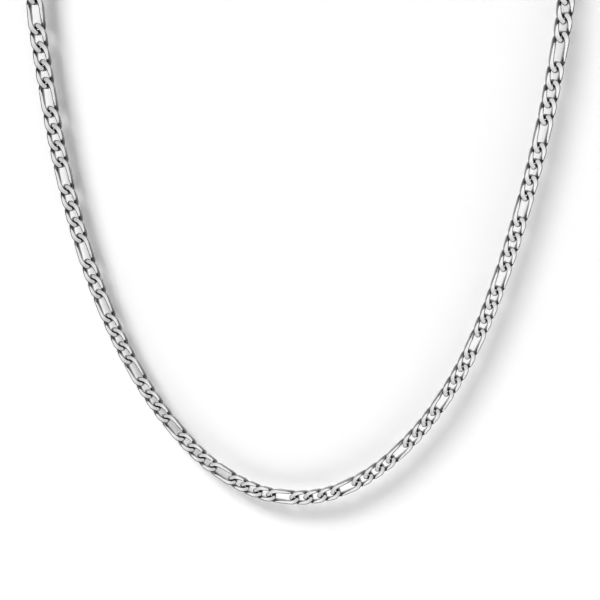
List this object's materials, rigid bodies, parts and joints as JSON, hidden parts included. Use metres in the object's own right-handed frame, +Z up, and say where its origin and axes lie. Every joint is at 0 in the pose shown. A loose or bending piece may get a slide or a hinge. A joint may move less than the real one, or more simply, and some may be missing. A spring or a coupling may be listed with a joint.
{
  "type": "figaro chain necklace",
  "caption": "Closed figaro chain necklace of twisted, flat-filed long and short links, hanging in a tall loop from a plain clasp.",
  "frame": {"origin": "under the clasp at the top of the loop, where the neck or a hook holds the necklace", "axes": "+Z up, the necklace hangs in the XZ plane, its front faces -Y"},
  "size_m": [0.1317, 0.004, 0.2191],
  "materials": {
    "steel": "polished"
  },
  "bodies": {
    "root": {"chain_left": "steel", "chain_right": "steel", "clasp": "steel"}
  },
  "joints": []
}
